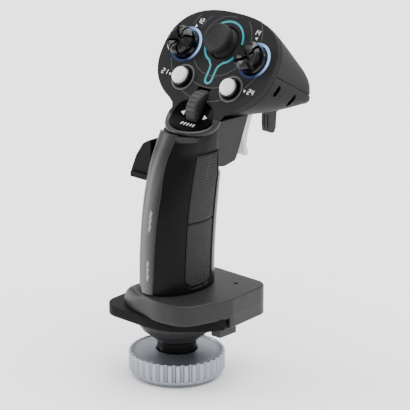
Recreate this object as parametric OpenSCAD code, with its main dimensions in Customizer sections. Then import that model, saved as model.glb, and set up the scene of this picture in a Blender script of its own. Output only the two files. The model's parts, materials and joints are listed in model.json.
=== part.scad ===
// Flight stick grip with hand rest and screw coupling.
// Frame: origin at the centre of the coupling nut's lower face, +Z up,
// the pilot sits on the -Y side, +X is the pilot's right.

/* [Coupling nut] */
// Outer radius over the flutes
nut_r = 25; // [20:0.5:32]
// Height of the fluted ring
nut_h = 13; // [8:0.5:20]
// Number of finger flutes
nut_flutes = 36; // [16:1:60]
// Wall radius of the internal thread (minor radius of M36 x 2)
thread_r = 16.92; // [10:0.01:22]
// Length of the internal thread
thread_len = 7.4; // [4:0.1:14]

/* [Neck and connector] */
// Outer radius of the black neck collar
neck_r = 10.2; // [7:0.1:13]
// Number of contacts in the connector
pin_count = 5; // [3:1:8]

/* [Hand rest] */
// Underside height of the lower plate
rest_z = 32.5; // [28:0.5:45]
// Thickness of the lower plate
rest_plate_h = 5.3; // [3:0.1:10]
// Top of the hand rest body
rest_top = 48.6; // [40:0.2:60]

/* [Grip column] */
// Wall thickness of the grip shells
grip_wall = 2.2; // [1.4:0.1:4]
// Thickness of the rubber pads
pad_t = 1.1; // [0.6:0.1:2]
// Height of the joint between lower and upper pad
pad_split_z = 85.6; // [75:0.5:95]

/* [Head] */
// Wall thickness of the head shells
head_wall = 2; // [1.2:0.1:3.5]
// Thickness of the face plate
face_t = 3; // [2:0.1:5]
// Lean of the face plate from vertical, in degrees
face_lean = 34.6; // [20:0.2:50]

/* [Controls] */
// Radius of the thumb stick cap
stick_r = 8.2; // [6:0.1:10]
// Radius of the hat switch caps
hat_r = 7.8; // [5:0.1:9]
// Radius of the two push buttons
button_r = 5.2; // [3:0.1:6.2]
// Travel of a push button
button_travel = 1.2; // [0.5:0.1:2]
// Radius of the scroll wheel
wheel_r = 10; // [7:0.1:12]
// Width of the scroll wheel
wheel_w = 6.8; // [4:0.1:8]

/* [Hidden] */
$fn = 48;
eps = 0.01;
rest_split = rest_z + rest_plate_h;
face_at = [0, 32.2, 165.1];
face_rot = 90 - face_lean;
hat_u = 23.5;
hat_v = 0.6;
btn_u = 16.6;
btn_v = -16.7;
stick_v = 6;
pivot_n = -2.5;
wheel_v = -29.5;
wheel_n = -5.2;
board_n = -15;
trigger_y = 41.3;
trigger_z = 128.8;
lever_y = 70.6;
lever_z = 128.4;

// ---------- small helpers ----------
function spow(a, n) = sign(a) * pow(abs(a), 2 / n);
function mix(a, b, f) = a + (b - a) * f;
function unit(v) = v / norm(v);

// Outline with rounded corners. Each corner is [x, y, radius].
function corner_arc(p, c, q, r, n) =
    let (a = unit(p - c), b = unit(q - c),
         half = acos(max(-1, min(1, a * b))) / 2,
         reach = r / tan(half),
         s = c + a * reach, e = c + b * reach)
    [for (k = [0:n]) let (t = k / n)
        s * (1 - t) * (1 - t) + c * 2 * t * (1 - t) + e * t * t];
function rounded(pts, n = 5) =
    let (m = len(pts))
    [for (i = [0:m - 1])
        let (p = pts[(i + m - 1) % m], c = pts[i], q = pts[(i + 1) % m])
        each (c[2] > 0
            ? corner_arc([p[0], p[1]], [c[0], c[1]], [q[0], q[1]], c[2], n)
            : [[c[0], c[1]]])];

// Solid through closed rings of equal length, flat at both ends.
module loft(rings) {
    m = len(rings);
    n = len(rings[0]);
    side = [for (k = [0:m - 2], i = [0:n - 1])
        let (j = (i + 1) % n, a = k * n, b = a + n)
        each [[a + i, b + i, b + j], [a + i, b + j, a + j]]];
    first = [for (i = [0:n - 1]) i];
    last = [for (i = [n - 1:-1:0]) (m - 1) * n + i];
    polyhedron([for (r = rings) each r], concat(side, [first, last]));
}

// Open shell between outer and inner arcs, closed along every edge.
// With nose = true the last arcs are closed by flat end walls.
module shell(outer, inner, nose = false) {
    m = len(outer);
    n = len(outer[0]);
    o = m * n;
    skin = [for (k = [0:m - 2], i = [0:n - 2])
        let (a = k * n + i, b = a + n)
        each [[a, b, b + 1], [a, b + 1, a + 1],
              [o + a, o + b + 1, o + b], [o + a, o + a + 1, o + b + 1]]];
    front = [for (i = [0:n - 2])
        each [[i, i + 1, o + i + 1], [i, o + i + 1, o + i]]];
    e = (m - 1) * n;
    back = nose
        ? [[for (i = [n - 1:-1:0]) e + i], [for (i = [0:n - 1]) o + e + i],
           [e, o + e + n - 1, e + n - 1], [e, o + e, o + e + n - 1]]
        : [for (i = [0:n - 2])
            each [[e + i, o + e + i + 1, e + i + 1], [e + i, o + e + i, o + e + i + 1]]];
    edges = [for (k = [0:m - 2])
        let (a = k * n, b = a + n, c = a + n - 1, d = b + n - 1)
        each [[a, o + b, b], [a, o + a, o + b], [c, d, o + d], [c, o + d, o + c]]];
    polyhedron([for (r = concat(outer, inner)) each r], concat(skin, front, back, edges));
}

module on_face(u = 0, v = 0, n = 0) {
    translate(face_at) rotate([face_rot, 0, 0]) translate([u, v, n]) children();
}

module ring(r_out, r_in, h) {
    difference() {
        cylinder(r = r_out, h = h);
        translate([0, 0, -eps]) cylinder(r = r_in, h = h + 2 * eps);
    }
}

// A disc with the profile (r, z) of a list, turned about Z.
module turned(profile) {
    rotate_extrude() polygon(profile);
}

// Side profile (y, z) pulled across the width in x.
module across(profile, w) {
    translate([-w / 2, 0, 0]) rotate([90, 0, 90]) linear_extrude(w) polygon(profile);
}

module coil(r, wire, z0, z1, turns) {
    steps = turns * 12;
    loft([for (k = [0:steps])
        let (a = k * 30, z = mix(z0, z1, k / steps))
        [for (i = [0:5])
            let (q = i * 60, rr = r + wire * cos(q))
            [rr * cos(a), rr * sin(a), z + wire * sin(q)]]]);
}

// ---------- coupling and neck ----------
module coupling_nut() {
    groove = 2 * 180 * nut_r / nut_flutes / 57.2958 * 0.34;
    color("silver") difference() {
        union() {
            turned([[thread_r, 0], [nut_r - 3, 0], [nut_r - 0.6, 2.6], [nut_r - 0.6, 3.3],
                [nut_r, 3.6], [nut_r, nut_h - 0.4], [nut_r - 0.5, nut_h], [nut_r - 1.6, nut_h],
                [nut_r - 1.9, nut_h - 0.8], [neck_r + 1.4, nut_h + 0.9], [neck_r + 0.4, nut_h + 0.5],
                [neck_r + 0.4, 10.5], [thread_r + 0.8, 10.5], [thread_r + 0.8, thread_len],
                [thread_r, thread_len]]);
        }
        for (i = [0:nut_flutes - 1]) rotate([0, 0, i * 360 / nut_flutes])
            translate([nut_r + 0.35, 0, 3.45]) cylinder(r = groove, h = nut_h, $fn = 16);
    }
}

module slip_washer() {
    color("ivory") translate([0, 0, 9.75]) ring(15.4, neck_r + 0.15, 0.45);
}

module neck_collar() {
    color("#1b1b1d") turned([[7.8, 7.8], [16, 7.8], [16, 9.7], [neck_r, 9.7], [neck_r, 18.6],
        [neck_r - 0.7, 20], [9.6, 20], [9.6, 57], [7.8, 57]]);
}

module neck_lock_nut() {
    color("silver") translate([0, 0, 51.4]) difference() {
        cylinder(r = 12.2, h = 4.4, $fn = 6);
        translate([0, 0, -1]) cylinder(r = 9.66, h = 8);
    }
}

module connector_shell() {
    color("silver") translate([0, 0, 8]) difference() {
        ring(7.7, 6.9, 9);
        translate([-1.2, -8, -0.1]) cube([2.4, 3, 3]);
    }
}

module connector_insert() {
    color("#222222") difference() {
        translate([0, 0, 10.4]) cylinder(r = 6.85, h = 6.4);
        pin_places() translate([0, 0, 9]) cylinder(r = 0.52, h = 9, $fn = 16);
        translate([0, -6.6, 10]) cylinder(r = 1.3, h = 4);
    }
}

module pin_places() {
    for (i = [0:pin_count - 1]) rotate([0, 0, 90 + (i - (pin_count - 1) / 2) * 55])
        translate([4.1, 0, 0]) children();
}

module connector_pins() {
    color("gold") pin_places() translate([0, 0, 8.4]) cylinder(r = 0.5, h = 10, $fn = 16);
}

// ---------- hand rest ----------
module base_dome() {
    color("#4c4c4f") difference() {
        turned([[9.8, 20.2], [11.9, 20.2], [12.6, 21.6], [14.8, 22.6], [18.2, 25.4], [20.4, 28.8],
            [21.2, 32.2], [9.8, 32.2]]);
        for (a = [20:40:340]) rotate([0, 0, a])
            translate([20.9, 0, 25]) cylinder(r = 0.7, h = 8, $fn = 16);
    }
}

function plate_outline() = rounded([[-29.2, -20.5, 8], [-20, -26.4, 7], [8, -24.4, 12],
    [22, -22.4, 5], [31.5, -4, 5], [36, 6, 9], [34.2, 33, 8], [-4, 33, 4], [-29.2, 18, 9]]);
function body_outline(grow) = rounded([[-19 - grow, -17, 6], [-8 - grow * 0.7, -21.6, 5],
    [8, -25.2, 12], [23.5, -23.6, 9], [36.6, 0, 14], [35.2, 33.8, 8], [-4, 33.8, 6],
    [-19 - grow, 18, 8]]);
function inset(pts, d) =
    let (c = [8, 4])
    [for (p = pts) let (v = [p[0], p[1]] - c) c + v * (1 - d / norm(v))];
function at_z(pts, z) = [for (p = pts) [p[0], p[1], z]];

module hand_rest_plate() {
    color("#3c3c40") difference() {
        translate([0, 0, rest_z]) linear_extrude(rest_plate_h) polygon(plate_outline());
        translate([0, 0, 30]) cylinder(r = 9.9, h = 12);
        rest_screw_places() translate([0, 0, rest_z - 1]) cylinder(r = 1.6, h = 9, $fn = 24);
        rest_screw_places() translate([0, 0, rest_z - 1]) cylinder(r = 3.1, h = 3, $fn = 24);
        translate([34.6, -3.4, rest_split - 2.4]) cube([4, 5, 4]);
        translate([25.8, -2.4, rest_z - 1]) cube([4.4, 15.8, 4.4]);
    }
}

module rest_screw_places() {
    for (p = [[20, -13], [27, 26], [2, 28.5], [-21, -13]]) translate([p[0], p[1], 0]) children();
}

module hand_rest_body() {
    top = body_outline(0);
    foot = body_outline(4);
    z0 = rest_split + 0.1;
    color("#45454a") difference() {
        loft([at_z(foot, z0), at_z(inset(foot, 0.3), z0 + 2), at_z(inset(top, 0.2), z0 + 6),
            at_z(inset(top, 0.3), rest_top - 1), at_z(inset(top, 1.3), rest_top)]);
        translate([0, 0, 30]) cylinder(r = 9.9, h = 25);
        difference() {
            translate([0, 0, z0 - 1]) linear_extrude(rest_top - z0 - 2)
                polygon(inset(top, 3.4));
            translate([0, 0, z0 - 2]) cylinder(r = 13.5, h = 20);
            rest_screw_places() translate([0, 0, z0 - 2]) cylinder(r = 4, h = 20);
        }
        rest_screw_places() translate([0, 0, z0 - 1]) cylinder(r = 1.32, h = 6, $fn = 24);
        translate([21.6, 21.6, rest_top - 1.2]) cylinder(r = 1.1, h = 3, $fn = 24);
    }
}

module hand_rest_screws() {
    color("silver") for (p = [[20, -13], [27, 26], [2, 28.5], [-21, -13]])
        translate([p[0], p[1], rest_z + 0.1]) {
            cylinder(r = 2.8, h = 1.8, $fn = 24);
            cylinder(r = 1.3, h = p[0] < -20 ? 5 : 9.5, $fn = 24);
        }
}

module rest_latch() {
    color("#5a5a5e") union() {
        translate([26.2, -2, 27.8]) cube([3.6, 12, 7.7]);
        translate([29, -2, 27.8]) cube([3.4, 12, 4.2]);
    }
}

// ---------- grip column ----------
// z, centre y, half width, depth to the back, depth to the front, front squareness
column = [
    [48.8, 0.4, 16, 21.8, 21.8, 2.1],
    [50.2, 0.4, 16, 21.8, 21.8, 2.1],
    [51.4, 0.4, 16, 21.8, 21.8, 2.1],
    [62, 0.4, 16, 21.9, 21.8, 2.1],
    [75, 1.4, 16, 22.2, 21.6, 2.1],
    [85.6, 2.3, 16, 22, 21.7, 2.1],
    [95, 3.4, 16, 21.8, 21.8, 2.1],
    [106, 5.2, 16, 20.8, 20.8, 2.2],
    [109.6, 5.8, 16, 20.4, 14.6, 3.4],
    [114, 7, 15.8, 20.2, 13.3, 3.4],
    [120.4, 9, 15.3, 19.5, 11.3, 3.4],
    [121.8, 9.5, 15.2, 19.2, 10.8, 3.4],
    [127, 11.3, 14.8, 17.6, 9, 3.4],
    [133, 13.4, 14.6, 16.4, 6.9, 3.4]];
function col(z, k) = lookup(z, [for (r = column) [r[0], r[k]]]);

// Point of the column surface at height z and turn t (0 back, 90 side, 180 front).
function skin(z, t, off, side) =
    let (front = t > 90, n = front ? col(z, 5) : 2.1,
         w = col(z, 2) + off, d = (front ? col(z, 4) : col(z, 3)) + off)
    [side * w * spow(sin(t), n), col(z, 1) - d * spow(cos(t), n), z];
function top_z(y) = min(128.7 + 0.024 * pow(max(y, 0), 2), 136.4 - 0.2 * max(0, y - 16.6));
function topped(p) = [p[0], p[1], p[2] > 130 ? top_z(p[1]) : p[2]];

pad_t0 = 64;
pad_t1 = 118;
function dip(z, t) =
    (t > pad_t0 + 1 && t < pad_t1 - 1 && z > 50.8 && z < 121) ? -pad_t : 0;
turns = concat([for (k = [0:8]) 2 + k * 7], [pad_t0, pad_t0 + 2],
    [for (k = [1:6]) pad_t0 + 2 + k * 7], [pad_t1 - 2, pad_t1],
    [for (k = [1:9]) pad_t1 + k * 6.6]);

module grip_half(side) {
    levels = [for (r = column) r[0]];
    ts = side > 0 ? turns : [for (k = [len(turns) - 1:-1:0]) turns[k]];
    outer = [for (z = levels) [for (t = ts)
        let (p = skin(z, t, dip(z, t), side)) topped([p[0] == 0 ? 0 : p[0], p[1], z])]];
    inner = [for (z = levels) [for (t = ts)
        let (p = skin(z, t, -grip_wall - pad_t, side)) topped(p)]];
    shell(outer, inner);
}

// Opening in the front wall for the scroll wheel and the wiring loom.
module wheel_window() {
    translate([-11.8, 14, 126.6]) cube([19.2, 16, 14]);
}

module grip_shell_right() {
    color("#18181a") difference() {
        grip_half(1);
        wheel_window();
    }
}

module grip_shell_left() {
    color("#18181a") difference() {
        grip_half(-1);
        wheel_window();
    }
}

module grip_floor() {
    color("#2a2a2d") difference() {
        translate([0, 0.4, 48.9]) linear_extrude(2.3)
            polygon([for (a = [0:10:350]) [12.3 * cos(a), 18 * sin(a)]]);
        cylinder(r = 9.7, h = 60);
    }
}

module grip_shell_screws() {
    color("silver") for (p = [[11, 70.4], [13, 92], [-7, 101]])
        translate([-7, p[0], p[1]]) rotate([0, 90, 0]) {
            cylinder(r = 1.4, h = 14, $fn = 20);
            cylinder(r = 2.4, h = 1.8, $fn = 20);
        }
}

function strip_w(z) = lookup(z, [[48.8, 4], [85, 4.4], [110, 5.2], [120, 6], [128, 7]]);
function strip_x(z) = lookup(z, [[48.8, 0], [100, 0], [116, -1.6], [128, -2.4]]);
function back_at(z, x, off) = col(z, 1)
    - (col(z, 3) + off) * pow(1 - pow(abs(x) / col(z, 2), 2.1), 1 / 2.1);
module back_strip() {
    levels = [49.2, 56, 62, 75, 85.6, 95, 101, 106, 109.6, 114, 120, 124, 127.6];
    function arc(z, off) = [for (k = [-3:3])
        let (x = strip_x(z) + strip_w(z) * k / 3) [x, back_at(z, x, off), z]];
    color("#9a9a9e") shell([for (z = levels) arc(z, 1.1)], [for (z = levels) arc(z, 0.14)]);
}

// Rubber pad between two heights, lying in the recess of its shell.
module pad(side, z0, z1) {
    steps = 5;
    ts = [for (k = [0:8]) mix(pad_t0 + 3, pad_t1 - 3, k / 8)];
    order = side > 0 ? ts : [for (k = [8:-1:0]) ts[k]];
    levels = concat([z0], [for (z = [62, 75, 85.6, 95, 106, 109.6, 114]) if (z > z0 + 1 && z < z1 - 1) z], [z1]);
    function arc(z, off) = [for (t = order) skin(z, t, off, side)];
    shell([for (z = levels) arc(z, -0.05)], [for (z = levels) arc(z, 0.08 - pad_t)]);
}

module lower_pad_right() {
    color("#2b2b2e") pad(1, 51.8, pad_split_z - 0.4);
}

module upper_pad_right() {
    color("#2b2b2e") pad(1, pad_split_z + 0.4, 120);
}

module lower_pad_left() {
    color("#2b2b2e") pad(-1, 51.8, pad_split_z - 0.4);
}

module upper_pad_left() {
    color("#2b2b2e") pad(-1, pad_split_z + 0.4, 99.6);
}

module thumb_rest() {
    wing = rounded([[-16.2, 123.6, 1], [-21.6, 120.4, 4], [-26.6, 113, 6], [-30, 104.8, 1.5],
        [-29.6, 101.6, 1.5], [-16.3, 101.2, 1]]);
    color("#2f2f33") difference() {
        union() {
            translate([0, 4.5, 0]) rotate([90, 0, 0]) linear_extrude(6.5) polygon(wing);
            translate([-29.4, -3.4, 101.4]) cube([12.6, 2, 2.9]);
        }
        for (z = [108, 116]) translate([-21, 1.2, z]) rotate([0, 90, 0])
            cylinder(r = 1.3, h = 8, $fn = 20);
    }
}

module thumb_rest_screws() {
    color("silver") for (z = [108, 116]) translate([-20.6, 1.2, z]) rotate([0, 90, 0])
        cylinder(r = 1.2, h = 4.2, $fn = 20);
}

module ballast_weight() {
    color("gray") difference() {
        translate([-9, -12, 58]) cube([18, 25, 8.6]);
        translate([0, 0, 57]) cylinder(r = 4, h = 30);
    }
}

module grip_circuit_board() {
    color("darkgreen") translate([3, -11, 74]) cube([1.6, 21, 24]);
    color("#222222") translate([1.7, -5, 82]) cube([1.3, 8, 8]);
}

module wiring_loom() {
    path = [[0, 0, 17.2], [0, 0, 60], [0, 1, 72], [-4, 2, 80], [-4.5, 4, 100], [-8.2, 8, 116],
        [-9, 13.4, 130], [-9.2, 24, 141], [-9, 33, 146.5]];
    color("#303030") loft([for (p = path) [for (i = [0:9])
        [p[0] + 1.8 * cos(i * 36), p[1] + 1.8 * sin(i * 36), p[2]]]]);
}

// ---------- trigger ----------
module trigger_housing() {
    side = [[20.9, 110.3], [29.8, 111.9], [37, 132.9], [20.9, 135.2]];
    hollow = [[19, 112.4], [28.2, 113.9], [34.4, 131.2], [35.4, 140], [19, 140]];
    color("#38383c") difference() {
        union() {
            across(side, 28.4);
            for (s = [-1, 1]) translate([s * 8.6, 0, 0])
                across([[34, 124.6], [37, 124.6], [44, 126.6], [44.4, 130.6], [42.6, 132.4],
                    [34, 132.4]], 2.6);
        }
        across(hollow, 24);
        translate([-3.2, 26, 114]) cube([6.4, 12, 9.6]);
        translate([-20, trigger_y, trigger_z]) rotate([0, 90, 0]) cylinder(r = 1.02, h = 40, $fn = 24);
    }
}

module trigger_blade() {
    blade = rounded([[38.4, 131.6, 2.4], [47.4, 131.8, 1], [46.2, 121, 14], [46.4, 112.4, 5],
        [49.4, 106.8, 1.6], [44.6, 107.4, 2], [42.6, 118, 9], [38, 126, 2]]);
    color("#c4c8cc") difference() {
        across(blade, 13.6);
        translate([-10, trigger_y, trigger_z]) rotate([0, 90, 0]) cylinder(r = 1.06, h = 20, $fn = 24);
        translate([-4, 36, 120.6]) cube([8, 5.6, 3.6]);
    }
}

module trigger_pin() {
    color("silver") translate([-9.8, trigger_y, trigger_z]) rotate([0, 90, 0])
        cylinder(r = 1, h = 19.6, $fn = 24);
}

module trigger_switch() {
    color("#151515") translate([-3, 22, 114.4]) cube([6, 9, 8.6]);
    color("#8c1c1c") translate([-1, 31, 118]) cube([2, 8.4, 2]);
}

module trigger_spring() {
    color("silver") translate([0, 0, 122.3]) rotate([-90, 0, 0]) coil(1.5, 0.28, 34.5, 41, 5);
}

// ---------- head ----------
seam_drop = 0.484;
function seam_z(y) = 160 - seam_drop * (y - 32.5);
// centre y, lean, half width, height above seam, height below seam, upper and lower squareness
head_rings = concat(
    [for (k = [0:6]) let (f = k / 6)
        [mix(32.5, 79, f), face_lean * (1 - f), mix(38, 19.5, f), mix(26.9, 16, f),
         mix(28, 7.6, f), mix(2.5, 3, f), mix(2.2, 3.2, f)]],
    [[83.5, 0, 17.3, 13.2, 6.2, 3, 3.2], [86.3, 0, 13.2, 9.6, 4.6, 2.8, 3],
     [87.6, 0, 7.5, 5.4, 2.6, 2.6, 2.6]]);
function head_arc(r, up, t_in) =
    let (nose = r[0] > 80, k = nose && t_in > 0 ? 0.88 : 1, d = nose ? 0 : t_in,
         y0 = r[0] - (nose ? t_in : 0), w = (r[2] - d) * k,
         h = ((up > 0 ? r[3] : r[4]) - d) * k, n = up > 0 ? r[5] : r[6])
    [for (i = [0:18])
        let (a = 180 - 10 * i, u = w * spow(cos(a), n), v = up * h * spow(sin(a), n))
        [up * u, y0 + v * sin(r[1]), seam_z(y0) + 0.16 * up + v * cos(r[1])]];
module head_half(up) {
    shell([for (r = head_rings) head_arc(r, up, 0)],
        [for (r = head_rings) head_arc(r, up, head_wall)], nose = true);
}

module head_upper_shell() {
    color("#4a4a4e") head_half(1);
}

module head_lower_shell() {
    color("#4a4a4e") difference() {
        head_half(-1);
        translate([-13, 8, 124]) cube([26, 26, 17]);
        translate([-4.9, 65.8, 124]) cube([9.8, 9.4, 10]);
        for (s = [-1, 1]) {
            translate([s * 28, 45, 149]) rotate([-30, 0, 0]) cube([14, 2, 5.6], center = true);
            translate([s * 20, 67, 136.6]) rotate([-30, 0, 0]) cube([14, 2, 5.6], center = true);
        }
    }
}

function face_outline(grow) =
    let (right = [for (k = [0:30]) let (a = 90 - k * 5)
            [(38 + grow) * spow(cos(a), a > 0 ? 2.5 : 2.2),
             -4 + (a > 0 ? 26.9 + grow : 28 + grow) * spow(sin(a), a > 0 ? 2.5 : 2.2)]],
         neck = [[17, -30.6], [15.8, -32.6], [15.2, -36]],
         keep = concat([for (p = right) if (p[1] > -29.6 || p[0] > 18) p], neck))
    concat(keep, [for (k = [len(keep) - 1:-1:1]) [-keep[k][0], keep[k][1]]]);

// Half of the keyhole light line, from the top round to the end of the stem.
key_r = 11.8;
function key_half(off) = concat(
    [for (a = [90:-8:-54]) [(key_r + off) * cos(a), stick_v + (key_r + off) * sin(a)]],
    [[4.6 + off * 0.6, -4.6 - off * 0.8], [2.5 + off, -7 - off * 0.3], [2.1 + off, -9]],
    [for (a = [0:-15:-90]) [(2.1 + off) * cos(a), -14.6 + (2.1 + off) * sin(a)]]);
function key_loop(off) =
    let (h = key_half(off), m = len(h))
    concat(h, [for (k = [m - 2:-1:1]) [-h[k][0], h[k][1]]]);
module key_band(w) {
    difference() {
        polygon(key_loop(w / 2));
        polygon(key_loop(-w / 2));
    }
}

module hat_places() {
    for (s = [-1, 1]) translate([s * hat_u, hat_v, 0]) children();
}

module button_places() {
    for (s = [-1, 1]) translate([s * btn_u, btn_v, 0]) children();
}

module face_plate() {
    color("#77777b") on_face() difference() {
        translate([0, 0, -face_t]) linear_extrude(face_t) polygon(face_outline(0));
        hat_places() translate([0, 0, -5]) cylinder(r = 9.85, h = 10);
        button_places() translate([0, 0, -5]) cylinder(r = 5.5, h = 10);
        button_places() translate([0, 0, -0.6]) ring(7.25, 6.25, 2);
        translate([0, stick_v, -5]) cylinder(r = 9.1, h = 10);
        translate([0, 0, -1.4]) linear_extrude(3) key_band(1.3);
        translate([-4.4, -39.8, -5]) cube([8.8, 20.6, 10]);
        translate([0, 0, -1.9]) linear_extrude(3) polygon(panel_outline(0.3));
    }
}

function lift(v) = v > -34 ? 0 : 0.042 * pow(-34 - v, 2);
function panel_w(v) = 13.2 * pow(max(0, 1 - pow(abs(v + 35.6) / 9, 2.4)), 1 / 2.4);
function panel_outline(grow) =
    let (right = [for (k = [0:12]) let (a = 90 - k * 15)
        [(13.2 + grow) * spow(cos(a), 2.4), -35.6 + (9 + grow) * spow(sin(a), 2.4)]])
    concat(right, [for (k = [11:-1:1]) [-right[k][0], right[k][1]]]);

module wheel_panel() {
    vs = [for (k = [0:10]) -35.6 + 8.9 * cos(180 - k * 18)];
    color("#0d0d0f") on_face() difference() {
        loft([for (v = vs) let (w = max(0.8, panel_w(v)))
            concat([for (i = [-5:5]) [w * i / 5, v, lift(v) - 0.9 + 0.8 * pow(i / 5, 2)]],
                   [for (i = [5:-1:-5]) [w * i / 5, v, lift(v) - 1.75]])]);
        translate([-4.2, -39.8, -5]) cube([8.4, 14.2, 12]);
    }
}

// Bright lip that carries the lower end of the face round the wheel panel.
module face_lip() {
    path = concat(
        [for (k = [0:7]) let (a = 12 - k * 14.6) [15.4 * cos(a), -36.4 + 10.4 * sin(a)]]);
    full = concat(path, [for (k = [len(path) - 1:-1:0]) [-path[k][0], path[k][1]]]);
    color("#b4b4b8") on_face() loft([for (k = [0:len(full) - 1])
        let (p = full[k],
             q = full[min(k + 1, len(full) - 1)], o = full[max(k - 1, 0)],
             tan = unit(q - o), out = [-tan[1], tan[0]], n0 = lift(p[1] + 0.6) - 1.6)
        [for (i = [0:9]) let (a = -i * 36)
            [p[0] - out[0] * -1.75 * cos(a), p[1] + out[1] * 1.75 * cos(a), n0 + 2 * sin(a)]]]);
}

module head_circuit_board() {
    color("darkgreen") on_face() translate([0, 0, board_n]) linear_extrude(1.6)
        polygon(rounded([[-24, 12.4, 6], [24, 12.4, 6], [29.6, -13, 6], [14, -19, 4],
            [-14, -19, 4], [-29.6, -13, 6]]));
}

module board_standoffs() {
    color("goldenrod") on_face() for (p = [[-13, 9.6], [13, 9.6], [-25, -13], [25, -13]])
        translate([p[0], p[1], board_n + 1.65]) cylinder(r = 1.8, h = 10.3, $fn = 24);
}

module light_guide() {
    color("#59d4dd") on_face() translate([0, 0, -1.35]) linear_extrude(1.4) key_band(1.1);
}

module hat_light_rings() {
    color("#9cc4ff") on_face() hat_places() translate([0, 0, -2.8]) ring(9.8, 8.5, 3.1);
}

module button_bezels() {
    color("#c8c8cc") on_face() button_places() translate([0, 0, -0.55]) ring(7.2, 6.3, 0.7);
}

// ---------- push buttons ----------
module push_button(s) {
    on_face(s * btn_u, btn_v) union() {
        turned([[0, -4], [button_r, -4], [button_r, 3.4], [button_r - 0.5, 4.1],
            [button_r - 1.4, 4.5], [0, 4.6]]);
        translate([0, 0, -9.6]) cylinder(r = 1.3, h = 5.7);
    }
}

module button_left() {
    color("#e8e8ea") push_button(-1);
}

module button_right() {
    color("#e8e8ea") push_button(1);
}

module button_coil(s) {
    on_face(s * btn_u, btn_v) coil(2.4, 0.25, -10.4, -4.35, 4);
}

module button_left_spring() {
    color("silver") button_coil(-1);
}

module button_right_spring() {
    color("silver") button_coil(1);
}

module button_switches() {
    color("#2a2a2a") on_face() button_places() {
        translate([-3.2, -3.2, board_n + 1.65]) cube([6.4, 6.4, 2.4]);
        cylinder_at(1.4, board_n + 4.0, 0.15);
    }
}

module cylinder_at(r, z, h) {
    translate([0, 0, z]) cylinder(r = r, h = h);
}

// ---------- scroll wheel ----------
module wheel_places() {
    on_face(0, wheel_v, wheel_n) rotate([0, 90, 0]) children();
}

module wheel_tyre() {
    color("#232325") wheel_places() difference() {
        translate([0, 0, -wheel_w / 2]) turned([[7.2, 0], [wheel_r - 0.8, 0], [wheel_r, 0.8],
            [wheel_r, wheel_w - 0.8], [wheel_r - 0.8, wheel_w], [7.2, wheel_w]]);
        for (a = [0:15:345]) rotate([0, 0, a]) translate([wheel_r + 0.1, 0, -6])
            cylinder(r = 0.55, h = 12, $fn = 16);
    }
}

module wheel_hub() {
    color("#3a3a3e") wheel_places() union() {
        translate([0, 0, -3.2]) cylinder(r = 7.16, h = 6.4);
        translate([0, 0, -6.4]) cylinder(r = 1.4, h = 12.8);
    }
}

module wheel_bracket() {
    color("#202022") on_face(0, wheel_v, 0) difference() {
        union() {
            translate([-6.2, -3.6, -17]) cube([12.4, 7.2, 1.2]);
            for (s = [-1, 1]) translate([s * 5.4 - 0.8, -3.6, -17]) cube([1.6, 7.2, 13.8]);
        }
        translate([-10, 0, wheel_n]) rotate([0, 90, 0]) cylinder(r = 1.46, h = 20, $fn = 24);
    }
}

// ---------- thumb stick and hats ----------
// Skirt is a part sphere about the pivot, so it fills its hole at any tilt.
function skirt(r_out, r_in, n0) = concat(
    [for (a = [0:6:48]) [r_out * cos(a), pivot_n + r_out * sin(a)]],
    [for (a = [48:-6:0]) [r_in * cos(a), pivot_n + r_in * sin(a)]]);

module stick_cap() {
    color("#6a6a6e") on_face(0, stick_v) union() {
        turned([[0, 3.5], [5.2, 3.3], [7, 3], [stick_r, 3.8], [stick_r, 6.4], [stick_r - 0.5, 7.4],
            [stick_r - 1.6, 7.9], [stick_r - 3, 7.5], [0, 6.6]]);
        turned(skirt(8.6, 7.5, 0));
    }
}

module stick_stem() {
    color("silver") on_face(0, stick_v) difference() {
        union() {
            translate([0, 0, -5.4]) cylinder(r = 1.5, h = 8.8);
            translate([-2.6, -2.6, pivot_n - 1]) cube([5.2, 5.2, 2]);
        }
        translate([0, 5, pivot_n]) rotate([90, 0, 0]) cylinder(r = 0.5, h = 10, $fn = 16);
    }
}

module gimbal(half) {
    difference() {
        translate([-half, -half, pivot_n - 1]) cube([2 * half, 2 * half, 2]);
        translate([-half + 1.2, -half + 1.2, -6]) cube([2 * half - 2.4, 2 * half - 2.4, 8]);
    }
    for (s = [-1, 1]) {
        translate([s * (half + 0.55) - 0.6, 0, pivot_n]) rotate([0, 90, 0])
            cylinder(r = 0.5, h = 1.2, $fn = 16);
        translate([0, s * (half - 2.05) + 0.95, pivot_n]) rotate([90, 0, 0])
            cylinder(r = 0.45, h = 1.9, $fn = 16);
    }
}

module stick_gimbal() {
    color("#b8a060") on_face(0, stick_v) gimbal(4.6);
}

module sensor_base(half, foot) {
    difference() {
        union() {
            translate([0, 0, board_n + 1.65]) cylinder(r = foot, h = 6.5);
            for (s = [-1, 1]) translate([s * (half + 0.9) - 0.6, -1.5, -7]) cube([1.2, 3, 6]);
        }
        translate([0, 0, -9.4]) cylinder(r = foot - 1.4, h = 3);
        translate([-10, 0, pivot_n]) rotate([0, 90, 0]) cylinder(r = 0.56, h = 20, $fn = 16);
    }
}

module sensor_bases() {
    color("#2c2c30") on_face() {
        translate([0, stick_v, 0]) sensor_base(4.6, 6.9);
        hat_places() sensor_base(4, 6.2);
    }
}

module hat_body() {
    turned(skirt(8, 6.9, 0));
    translate([0, 0, -5]) cylinder(r = 1.4, h = 8.4);
    translate([-2.2, -2.2, pivot_n - 1]) cube([4.4, 4.4, 2]);
}

module hat_hole() {
    translate([0, 5, pivot_n]) rotate([90, 0, 0]) cylinder(r = 0.5, h = 10, $fn = 16);
}

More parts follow.
